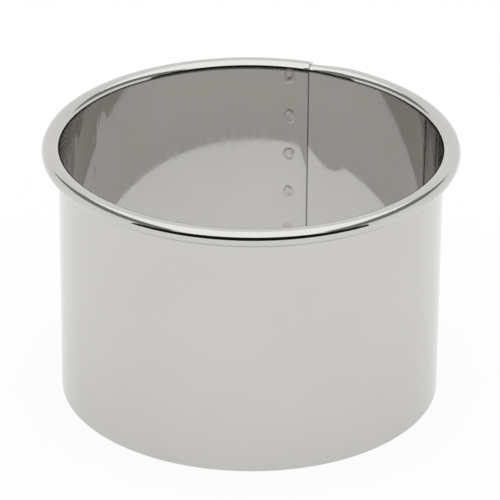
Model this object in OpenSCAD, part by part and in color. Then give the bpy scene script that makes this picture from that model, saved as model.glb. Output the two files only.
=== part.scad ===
// Round biscuit cutter: one strip of sheet steel bent into a ring, its ends lapped and
// spot welded, its top edge curled outward into a bead. The cutting edge stands on z = 0,
// Z runs up the middle of the ring, and +Y points at the row of spot welds.

/* [Band] */
// Outside diameter of the band
band_d = 70; // [50:1:110]
// Height from the cutting edge to the top of the rim
height = 49; // [30:1:80]
// Thickness of the sheet
sheet_t = 0.4; // [0.3:0.05:0.5]

/* [Rolled rim] */
// Height of the round bead
bead_h = 3; // [2.6:0.1:4]
// Radius in which the sheet leans out towards the bead
lean_r = 3; // [2.6:0.1:3.5]
// Angle through which the sheet leans out before the bead begins
lean_angle = 44; // [20:1:50]
// Clearance between the free edge of the curl and the lap behind it
edge_gap = 0.1; // [0.05:0.05:0.2]

/* [Lap seam] */
// Length around the band over which the two ends overlap
lap_w = 7.2; // [5:0.1:12]
// Clearance between the two layers of the lap
lap_gap = 0.05; // [0.03:0.01:0.08]
// Length around the band in which the outer end steps out
joggle_w = 8; // [4:0.5:16]

/* [Spot welds] */
// Diameter of a weld
weld_d = 2.6; // [1.5:0.1:4]
// Height of the lowest weld above the cutting edge
weld_bottom = 5.8; // [4:0.1:8]
// Depth of the highest weld below the top of the rim
weld_top = 2.7; // [2.7:0.1:6]
// Depth of the dent that a weld leaves in each face
weld_dent = 0.05; // [0.02:0.01:0.1]

/* [Hidden] */
weld_count = 6;
joggle_steps = 8;
$fn = 180;
curl_fn = 64;
steel = [0.78, 0.77, 0.75];
weld_steel = [0.62, 0.61, 0.59];

// The inner face of the ring, and how far the outer end stands off from the inner one
inner_r = band_d / 2 - sheet_t;
step_out = sheet_t + lap_gap;

// The sheet leans out of the wall in one wide arc and runs on into the tighter arc of the
// curl, which ends just clear of the outer layer of the lap
lean_end = 180 - lean_angle;
curl_r = bead_h / 2;
curl_z = height - curl_r;
lean_x = inner_r + lean_r;
curl_x = lean_x - (lean_r - curl_r) * cos(lean_angle);
lean_z = curl_z - (lean_r - curl_r) * sin(lean_angle);
lap_outer_x = inner_r + step_out + sheet_t;
curl_end = acos((curl_x - lap_outer_x - edge_gap) / curl_r) - 180;

// Directions around the ring, with the middle of the lap at +Y
seam_angle = 90;
lap_angle = 360 * lap_w / (PI * band_d);
inner_end = seam_angle - lap_angle / 2;
outer_end = seam_angle + lap_angle / 2;
joggle_angle = 360 * joggle_w / (PI * band_d);
joggle_start = inner_end - joggle_angle;
step_angle = joggle_angle / joggle_steps;
step_overlap = step_angle / 4;

// The strip as stretches around the ring: [start, end, how far it stands off outward].
// It starts at its inner end, runs once round, steps out and ends behind where it started.
strip = concat(
    [[inner_end, joggle_start + 360 + step_overlap, 0]],
    [for (i = [1 : joggle_steps - 1]) [
        joggle_start + step_angle * (i - 1),
        joggle_start + step_angle * i + step_overlap,
        step_out * i / joggle_steps
    ]],
    [[inner_end - step_angle, outer_end, step_out]]
);

// Heights of the welds, evenly spaced from the lowest to the highest
weld_pitch = (height - weld_top - weld_bottom) / (weld_count - 1);
function weld_z(i) = weld_bottom + weld_pitch * (i - 1);
function weld_name(i) = str("spot_weld_", i);

function polar(r, a) = r * [cos(a), sin(a)];

// A pie slice from angle a to angle b, large enough to cut a circle of radius r
module slice(r, a, b) {
    parts = ceil((b - a) / 45);
    polygon(concat([[0, 0]], [for (i = [0 : parts]) polar(2 * r, a + (b - a) * i / parts)]));
}

// A sheet of the given thickness bent to outer radius r, from angle a to angle b
module arc_sheet(r, thickness, a, b) {
    intersection() {
        difference() {
            circle(r, $fn = curl_fn);
            circle(r - thickness, $fn = curl_fn);
        }
        slice(r, a, b);
    }
}

// Section of the wall and of the lean above it, standing off outward
module wall_section(stand_off, thickness) {
    translate([inner_r + stand_off, 0]) square([thickness, lean_z]);
    translate([lean_x, lean_z]) arc_sheet(lean_r - stand_off, thickness, lean_end, 180);
}

// Section of the curl, from the end of the lean round to its free edge
module curl_section(stand_off) {
    translate([curl_x, curl_z]) arc_sheet(curl_r - stand_off, sheet_t, curl_end, lean_end);
}

// A section swept around the ring from direction a to direction b
module sweep(a, b) {
    rotate([0, 0, a]) rotate_extrude(angle = b - a) children();
}

// The core of a weld: a round bar along +Y that runs through both layers of the lap
module weld_core(i) {
    translate([0, inner_r - weld_d, weld_z(i)]) rotate([-90, 0, 0]) cylinder(d = weld_d, h = 2 * weld_d);
}

module cutting_band() {
    color(steel) difference() {
        for (s = strip) sweep(s[0], s[1]) wall_section(s[2], sheet_t);
        for (i = [1 : weld_count]) weld_core(i);
    }
}

module rolled_rim() {
    color(steel) for (s = strip) sweep(s[0], s[1]) curl_section(s[2]);
}

module spot_weld(i) {
    color(weld_steel) intersection() {
        weld_core(i);
        sweep(inner_end, outer_end) wall_section(weld_dent, sheet_t + step_out - 2 * weld_dent);
    }
}

cutting_band();
rolled_rim();
for (i = [1 : weld_count]) {
    spot_weld(i);
}
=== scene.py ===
import math
import bmesh
import bpy
from mathutils import Matrix, Vector, noise


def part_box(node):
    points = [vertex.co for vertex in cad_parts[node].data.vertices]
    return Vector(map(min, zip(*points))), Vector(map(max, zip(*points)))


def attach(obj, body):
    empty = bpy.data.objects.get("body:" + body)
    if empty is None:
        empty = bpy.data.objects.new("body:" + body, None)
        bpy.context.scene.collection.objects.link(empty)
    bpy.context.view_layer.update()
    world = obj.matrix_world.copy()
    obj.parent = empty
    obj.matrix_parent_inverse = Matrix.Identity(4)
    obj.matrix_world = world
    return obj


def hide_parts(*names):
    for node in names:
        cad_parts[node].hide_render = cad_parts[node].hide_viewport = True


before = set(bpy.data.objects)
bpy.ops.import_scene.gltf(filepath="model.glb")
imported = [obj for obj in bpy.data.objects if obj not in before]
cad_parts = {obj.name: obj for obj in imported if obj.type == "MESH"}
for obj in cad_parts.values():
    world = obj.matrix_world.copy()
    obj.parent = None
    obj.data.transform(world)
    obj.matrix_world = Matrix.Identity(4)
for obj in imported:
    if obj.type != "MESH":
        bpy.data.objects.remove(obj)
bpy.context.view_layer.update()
mm = 0.001

# The sheet and its path round the ring, in millimetres and degrees
strip = {
    "innerRadius": 34.6,
    "sheet": 0.4,
    "seam": 90.0,          # the middle of the lap
    "lapAngle": 11.79,
    "joggleAngle": 13.1,
    "stepOut": 0.45,       # how far the outer layer stands off behind the inner one
    "outOfRound": 0.05,
    "ovalTurn": 0.7,       # which way the oval lies, in radians
    "waviness": 0.015,
    "wavesRound": 3.2,
    "waveHeight": 11,
    "endLift": 0.14,       # the sheared inner end springs a little off the layer behind it
    "liftAngle": 2.6,
    "crease": 38,          # an edge sharper than this stays an edge in the shading
}


def smooth(x):
    x = min(max(x, 0), 1)
    return x * x * (3 - 2 * x)


def newObject(name, bm, material):
    mesh = bpy.data.meshes.new(name)
    bm.to_mesh(mesh)
    bm.free()
    mesh.materials.append(material)
    piece = bpy.data.objects.new(name, mesh)
    bpy.context.scene.collection.objects.link(piece)
    return piece


def sharpenCreases(bm, degrees):
    for face in bm.faces:
        face.smooth = True
    for edge in bm.edges:
        if len(edge.link_faces) == 2:
            edge.smooth = edge.calc_face_angle(0) < math.radians(degrees)


# The last turn of the strip stands off behind its start
def standOff(turn):
    return strip["stepOut"] * smooth((turn - 360 + strip["joggleAngle"]) / strip["joggleAngle"])


# Camera, where the photograph was taken from
shot = {
    "azimuth": 12.05, "elevation": 27.11, "roll": 0.46, "distance": 700.0,
    "aimSide": -0.06, "aimHeight": 26.67, "lens": 273.96, "sensor": 36.0, "clipEnd": 20,
}


def placeCamera():
    azimuth = math.radians(shot["azimuth"])
    elevation = math.radians(shot["elevation"])
    roll = math.radians(shot["roll"])
    right = Vector((math.cos(azimuth), math.sin(azimuth), 0))
    away = Vector((math.sin(azimuth), -math.cos(azimuth), 0))
    back = away * math.cos(elevation) + Vector((0, 0, math.sin(elevation)))
    up = back.cross(right)
    side = right * math.cos(roll) + up * math.sin(roll)
    top = up * math.cos(roll) - right * math.sin(roll)
    aim = (right * shot["aimSide"] + Vector((0, 0, shot["aimHeight"]))) * mm
    data = bpy.data.cameras.new("camera")
    data.lens = shot["lens"]
    data.sensor_width = shot["sensor"]
    data.clip_end = shot["clipEnd"]
    camera = bpy.data.objects.new("camera", data)
    turn = Matrix((side, top, back)).transposed().to_4x4()
    camera.matrix_world = Matrix.Translation(aim + back * shot["distance"] * mm) @ turn
    bpy.context.scene.collection.objects.link(camera)
    bpy.context.scene.camera = camera


placeCamera()
print("camera placed")

# Studio, in metres and degrees: white floor and world, a soft light overhead, a black card in
# front and a grey one at each side. The cards show only as reflections
studio = {
    "floorRadius": 3.0, "floorSides": 96, "floorColour": (0.9, 0.9, 0.895, 1),
    "floorGlow": 0.62,     # how much of the floor's mirrored light is even white
    "floorWhite": 0.9,     # the same for the floor as the camera sees it
    "lightHeight": 0.6, "lightBehind": 34, "lightFront": 47, "lightHalfWidth": 0.42, "lightLevel": 1.35,
    "cardDistance": 0.55, "cardTop": 42, "cardBottom": 1.5, "cardHalfWidth": 1.1, "cardLevel": 0.012,
    "sideDistance": 0.7, "sideLow": 0.4, "sideHigh": 1.1, "sideHalfDepth": 0.7, "sideLevel": 0.25,
    "worldLevel": 0.95, "bounces": 20, "glossyBounces": 18,
}


def glowMaterial(name, colour, strength):
    material = bpy.data.materials.new(name)
    material.use_nodes = True
    nodes = material.node_tree.nodes
    nodes.clear()
    glow = nodes.new("ShaderNodeEmission")
    glow.inputs["Color"].default_value = colour
    glow.inputs["Strength"].default_value = strength
    out = nodes.new("ShaderNodeOutputMaterial")
    material.node_tree.links.new(glow.outputs[0], out.inputs["Surface"])
    return material


def floorMaterial():
    material = bpy.data.materials.new("white_floor")
    material.use_nodes = True
    nodes, links = material.node_tree.nodes, material.node_tree.links
    nodes.clear()
    path = nodes.new("ShaderNodeLightPath")
    mirrored = nodes.new("ShaderNodeMath")
    mirrored.operation = "MULTIPLY"
    mirrored.inputs[1].default_value = studio["floorGlow"]
    links.new(path.outputs["Is Glossy Ray"], mirrored.inputs[0])
    share = nodes.new("ShaderNodeMath")
    share.operation = "MULTIPLY_ADD"
    share.inputs[1].default_value = studio["floorWhite"]
    links.new(path.outputs["Is Camera Ray"], share.inputs[0])
    links.new(mirrored.outputs[0], share.inputs[2])
    matt = nodes.new("ShaderNodeBsdfDiffuse")
    matt.inputs["Color"].default_value = studio["floorColour"]
    glow = nodes.new("ShaderNodeEmission")
    mix = nodes.new("ShaderNodeMixShader")
    links.new(share.outputs[0], mix.inputs[0])
    links.new(matt.outputs[0], mix.inputs[1])
    links.new(glow.outputs[0], mix.inputs[2])
    out = nodes.new("ShaderNodeOutputMaterial")
    links.new(mix.outputs[0], out.inputs["Surface"])
    return material


def buildCard(name, size, centre, tilt, material, axis="X"):
    bm = bmesh.new()
    bmesh.ops.create_grid(bm, x_segments=1, y_segments=1, size=1)
    bmesh.ops.scale(bm, vec=(size[0], size[1], 1), verts=bm.verts)
    bmesh.ops.rotate(bm, cent=(0, 0, 0), matrix=Matrix.Rotation(tilt, 3, axis), verts=bm.verts)
    bmesh.ops.translate(bm, vec=centre, verts=bm.verts)
    spin = Matrix.Rotation(math.radians(shot["azimuth"]), 3, "Z")
    bmesh.ops.rotate(bm, cent=(0, 0, 0), matrix=spin, verts=bm.verts)
    card = newObject(name, bm, material)
    card.visible_camera = False
    card.visible_diffuse = name == "softbox"
    card.visible_shadow = False


def buildStudio():
    bm = bmesh.new()
    bmesh.ops.create_circle(bm, cap_ends=True, segments=studio["floorSides"],
                            radius=studio["floorRadius"])
    newObject("floor", bm, floorMaterial())

    height = studio["lightHeight"]
    behind = height * math.tan(math.radians(studio["lightBehind"]))
    front = -height * math.tan(math.radians(studio["lightFront"]))
    light = glowMaterial("softbox_glow", (1, 1, 1, 1), studio["lightLevel"])
    size = (studio["lightHalfWidth"], (behind - front) / 2)
    buildCard("softbox", size, (0, (behind + front) / 2, height), 0, light)

    distance = studio["cardDistance"]
    low = distance * math.tan(math.radians(studio["cardBottom"]))
    high = distance * math.tan(math.radians(studio["cardTop"]))
    black = glowMaterial("card_black", (studio["cardLevel"],) * 3 + (1,), 1)
    size = (studio["cardHalfWidth"], (high - low) / 2)
    buildCard("black_card", size, (0, -distance, (low + high) / 2), math.pi / 2, black)

    grey = glowMaterial("card_grey", (studio["sideLevel"],) * 3 + (1,), 1)
    size = ((studio["sideHigh"] - studio["sideLow"]) / 2, studio["sideHalfDepth"])
    middle = (studio["sideHigh"] + studio["sideLow"]) / 2
    for side in (-1, 1):
        centre = (side * studio["sideDistance"], 0, middle)
        buildCard("side_card", size, centre, math.pi / 2, grey, "Y")

    world = bpy.data.worlds.new("studio")
    bpy.context.scene.world = world
    world.use_nodes = True
    nodes, links = world.node_tree.nodes, world.node_tree.links
    path = nodes.new("ShaderNodeLightPath")
    level = nodes.new("ShaderNodeMapRange")
    level.inputs["To Min"].default_value = studio["worldLevel"]
    level.inputs["To Max"].default_value = 1
    links.new(path.outputs["Is Camera Ray"], level.inputs["Value"])
    nodes["Background"].inputs["Color"].default_value = (1, 1, 1, 1)
    links.new(level.outputs["Result"], nodes["Background"].inputs["Strength"])
    scene = bpy.context.scene
    scene.view_settings.view_transform = "Standard"
    scene.cycles.max_bounces = studio["bounces"]
    scene.cycles.glossy_bounces = studio["glossyBounces"]


buildStudio()
print("studio ready")

# Finishes. Streaks is how fine the grain is along X, Y and Z: the band's runs up the wall
finishes = {
    "band": {"light": (0.615, 0.607, 0.588, 1), "dark": (0.575, 0.565, 0.543, 1),
             "streaks": (700, 700, 26), "rough": (0.035, 0.075), "bump": 0.02},
    "rim": {"light": (0.63, 0.622, 0.605, 1), "dark": (0.56, 0.55, 0.53, 1),
            "streaks": (900, 900, 900), "rough": (0.04, 0.09), "bump": 0.05},
    "weld": {"light": (0.66, 0.65, 0.63, 1), "dark": (0.46, 0.44, 0.41, 1),
             "streaks": (1600, 1600, 1600), "rough": (0.14, 0.3), "bump": 0.12},
}
grainLook = {
    "detail": 3, "low": 0.35, "high": 0.65, "depth": 0.02, "cloudScale": 60, "cloudDetail": 4,
}


def steel(name):
    look = finishes[name]
    material = bpy.data.materials.new(name + "_steel")
    material.use_nodes = True
    nodes, links = material.node_tree.nodes, material.node_tree.links
    shader = nodes["Principled BSDF"]
    shader.inputs["Metallic"].default_value = 1
    place = nodes.new("ShaderNodeTexCoord")
    scale = nodes.new("ShaderNodeMapping")
    scale.inputs["Scale"].default_value = look["streaks"]
    links.new(place.outputs["Object"], scale.inputs["Vector"])
    grain = nodes.new("ShaderNodeTexNoise")
    grain.inputs["Scale"].default_value = 1
    grain.inputs["Detail"].default_value = grainLook["detail"]
    links.new(scale.outputs[0], grain.inputs["Vector"])
    clouds = nodes.new("ShaderNodeTexNoise")
    clouds.inputs["Scale"].default_value = grainLook["cloudScale"]
    clouds.inputs["Detail"].default_value = grainLook["cloudDetail"]
    links.new(place.outputs["Object"], clouds.inputs["Vector"])
    tint = nodes.new("ShaderNodeMix")
    tint.data_type = "RGBA"
    tint.inputs["A"].default_value = look["dark"]
    tint.inputs["B"].default_value = look["light"]
    links.new(clouds.outputs["Fac"], tint.inputs["Factor"])
    links.new(tint.outputs["Result"], shader.inputs["Base Color"])
    rough = nodes.new("ShaderNodeMapRange")
    rough.inputs["From Min"].default_value = grainLook["low"]
    rough.inputs["From Max"].default_value = grainLook["high"]
    rough.inputs["To Min"].default_value = look["rough"][0]
    rough.inputs["To Max"].default_value = look["rough"][1]
    links.new(grain.outputs["Fac"], rough.inputs["Value"])
    links.new(rough.outputs["Result"], shader.inputs["Roughness"])
    bump = nodes.new("ShaderNodeBump")
    bump.inputs["Strength"].default_value = look["bump"]
    bump.inputs["Distance"].default_value = grainLook["depth"] * mm
    links.new(grain.outputs["Fac"], bump.inputs["Height"])
    links.new(bump.outputs[0], shader.inputs["Normal"])
    return material


# Sheet wound once round and lapped. The section is spun along the strip, then each ring of
# it is stood off behind the first turn and waved a little, as hand-bent sheet is
def spinStrip(section, steps, inward, waves):
    bm = bmesh.new()
    turnStart = strip["seam"] - strip["lapAngle"] / 2
    start = Matrix.Rotation(math.radians(turnStart), 3, "Z")
    ring = [bm.verts.new(start @ Vector((r, 0, z))) for r, z in section]
    face = bm.faces.new(ring)
    total = 360 + strip["lapAngle"]
    bmesh.ops.spin(bm, geom=[face] + face.edges[:] + ring, cent=(0, 0, 0), axis=(0, 0, 1),
                   angle=math.radians(total), steps=steps, use_merge=False)
    bm.verts.index_update()
    for vert in bm.verts:
        turn = total * (vert.index // len(section)) / steps
        radius = math.hypot(vert.co.x, vert.co.y)
        z = vert.co.z
        across, upward = inward(radius, z)
        off = standOff(turn)
        lift = strip["endLift"] * max(0, 1 - turn / strip["liftAngle"]) ** 2
        change = off * across - lift + waves(math.radians(turnStart + turn), z)
        factor = (radius + change) / radius
        vert.co = Vector((vert.co.x * factor, vert.co.y * factor, z + off * upward))
    bmesh.ops.scale(bm, vec=(mm, mm, mm), verts=bm.verts)
    bmesh.ops.recalc_face_normals(bm, faces=bm.faces)
    sharpenCreases(bm, strip["crease"])
    return bm


# The ring's slight ovalness and the waves of its wall, never outward of round
def handBent(angle, z):
    oval = strip["outOfRound"] * (math.cos(2 * angle - strip["ovalTurn"]) - 1)
    across = strip["wavesRound"]
    spot = Vector((across * math.cos(angle), across * math.sin(angle), z / strip["waveHeight"]))
    return oval + strip["waviness"] * (noise.noise(spot) - 1)


# Band: the wall and the cutting edge
band = {"top": 47.5, "rows": 26, "steps": 496, "edgeBreak": 0.07}


def bandSection():
    inner = strip["innerRadius"]
    outer = inner + strip["sheet"]
    small = band["edgeBreak"]
    points = []
    for row in range(band["rows"] + 1):
        points.append((inner, band["top"] + (small - band["top"]) * row / band["rows"]))
    points += [(inner + small, 0), (outer - small, 0)]
    for row in range(band["rows"] + 1):
        points.append((outer, small + (band["top"] - small) * row / band["rows"]))
    return points


def buildBand():
    bm = spinStrip(bandSection(), band["steps"], lambda r, z: (1, 0), handBent)
    piece = newObject("band_strip", bm, steel("band"))
    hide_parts("cutting_band")
    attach(piece, "root")


buildBand()
print("band bent")

# Rim: the bead, a little wider than it is high, curled outward from the top of the wall
rim = {
    "curl": 1.5, "flat": 0.42, "edgeGap": 0.1, "shortArc": 14, "longArc": 34, "steps": 744,
    "ripple": 0.02, "gatherZones": 4, "ripplesRound": 70, "rippleFoot": 0.2, "rippleRise": 1.2,
}


def rimSection():
    inner = strip["innerRadius"]
    centre = inner + rim["curl"]
    outer = centre + rim["flat"]
    clear = inner + strip["stepOut"] + strip["sheet"] + rim["edgeGap"]
    end = math.acos((outer - clear) / rim["curl"]) - math.pi
    points = []
    for radius, order in ((rim["curl"], 1), (rim["curl"] - strip["sheet"], -1)):
        first = [math.pi - i * math.pi / 2 / rim["shortArc"] for i in range(rim["shortArc"] + 1)]
        second = [math.pi / 2 + i * (end - math.pi / 2) / rim["longArc"] for i in range(rim["longArc"] + 1)]
        side = [(centre + radius * math.cos(a), band["top"] + radius * math.sin(a)) for a in first]
        side += [(outer + radius * math.cos(a), band["top"] + radius * math.sin(a)) for a in second]
        points += side[::order]
    return points


def towardsCurl(radius, z):
    centre = strip["innerRadius"] + rim["curl"]
    outer = centre + rim["flat"]
    nearest = min(max(radius, centre), outer)
    across, upward = nearest - radius, band["top"] - z
    length = math.hypot(across, upward)
    return across / length, upward / length


# The wall's own waves, and short ripples across the bead where the sheet was gathered
def rimWaves(angle, z):
    gathered = max(0, -math.cos(rim["gatherZones"] * (angle - math.radians(shot["azimuth"])))) ** 2
    across = rim["ripplesRound"]
    fine = noise.noise(Vector((across * math.cos(angle), across * math.sin(angle), 0)))
    lift = smooth((z - band["top"] + rim["rippleFoot"]) / rim["rippleRise"])
    return handBent(angle, band["top"]) + rim["ripple"] * lift * gathered * (fine - 1)


def buildRim():
    bm = spinStrip(rimSection(), rim["steps"], towardsCurl, rimWaves)
    piece = newObject("rim_bead", bm, steel("rim"))
    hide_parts("rolled_rim")
    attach(piece, "root")


buildRim()
print("rim curled")

# Spot welds: a core through both layers, with a shallow dish and a raised lip on each face
weld = {
    "count": 6, "segments": 40, "halfWidth": 1.15, "halfHeight": 1.5,
    "profile": ((0.0, 0.0), (0.25, 0.008), (0.5, 0.03), (0.7, 0.045), (0.85, 0.025), (1.0, -0.01)),
    "unevenScale": 1.1, "unevenShift": 7.3, "unevenWidth": 0.4, "unevenDepth": 0.12,
    "crease": 60, "merge": 1e-5,
}


def buildWeld(index, material):
    node = "spot_weld_" + str(index)
    low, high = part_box(node)
    middle = (low.z + high.z) / 2 / mm
    bm = bmesh.new()
    reach = strip["stepOut"] + strip["sheet"]
    lower = [(share, -height) for share, height in weld["profile"]]
    upper = [(share, reach + height) for share, height in weld["profile"][::-1]]
    path = [bm.verts.new((share, 0, height)) for share, height in lower + upper]
    edges = [bm.edges.new(pair) for pair in zip(path, path[1:])]
    bmesh.ops.spin(bm, geom=path + edges, cent=(0, 0, 0), axis=(0, 0, 1), angle=math.tau,
                   steps=weld["segments"], use_merge=True)
    bmesh.ops.remove_doubles(bm, verts=bm.verts, dist=weld["merge"])
    for vert in bm.verts:
        fine = weld["unevenScale"]
        spot = Vector((fine * vert.co.x, fine * vert.co.y, weld["unevenShift"] * index))
        uneven = noise.noise(spot)
        stretch = 1 + weld["unevenWidth"] * uneven
        along = vert.co.x * weld["halfWidth"] * stretch
        above = vert.co.y * weld["halfHeight"] * stretch
        dent = weld["unevenDepth"] * uneven * (1 - min(1, vert.co.xy.length))
        out = vert.co.z + (dent if vert.co.z < reach / 2 else -dent)
        angle = math.radians(strip["seam"]) + along / strip["innerRadius"]
        radius = strip["innerRadius"] + out + handBent(angle, middle)
        vert.co = Vector((radius * math.cos(angle), radius * math.sin(angle), middle + above))
    bmesh.ops.scale(bm, vec=(mm, mm, mm), verts=bm.verts)
    bmesh.ops.recalc_face_normals(bm, faces=bm.faces)
    sharpenCreases(bm, weld["crease"])
    piece = newObject("weld_" + str(index), bm, material)
    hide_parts(node)
    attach(piece, "root")


weldSteel = steel("weld")
for index in range(1, weld["count"] + 1):
    buildWeld(index, weldSteel)
print("welds made")
